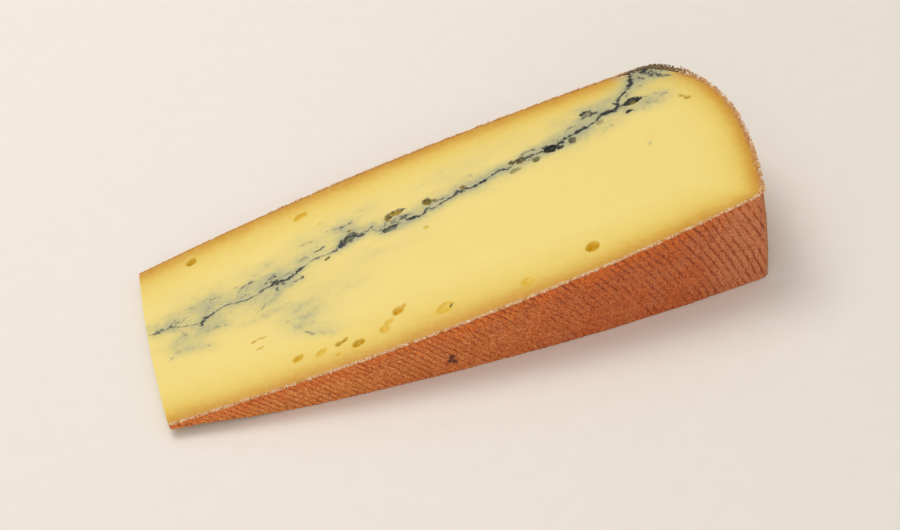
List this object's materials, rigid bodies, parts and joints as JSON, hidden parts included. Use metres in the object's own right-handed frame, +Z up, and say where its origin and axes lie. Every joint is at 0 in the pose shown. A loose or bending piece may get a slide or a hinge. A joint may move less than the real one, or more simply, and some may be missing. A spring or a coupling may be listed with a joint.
{
  "type": "morbier wedge",
  "caption": "Wedge of semi-soft washed-rind cheese lying on its cut face, with a thin dark ash layer running through pale yellow paste from tip to rind.",
  "frame": {"origin": "middle of the wedge's box at its base, on the lower cut face", "axes": "+X from the thin tip along the wheel's radius to the rind of its side; +Y from the front flat face of the wheel to the back one; +Z up, out of the lower cut"},
  "size_m": [0.1706, 0.0724, 0.0307],
  "materials": {
    "paste": "waxy, slightly translucent butter-yellow cheese paste",
    "rind": "dry orange-brown washed rind with cloth-print ridges and pale bloom",
    "ash": "dull blue-black vegetable ash"
  },
  "bodies": {
    "root": {"paste_front": "paste", "paste_back": "paste", "ash_layer": "ash"}
  },
  "joints": []
}
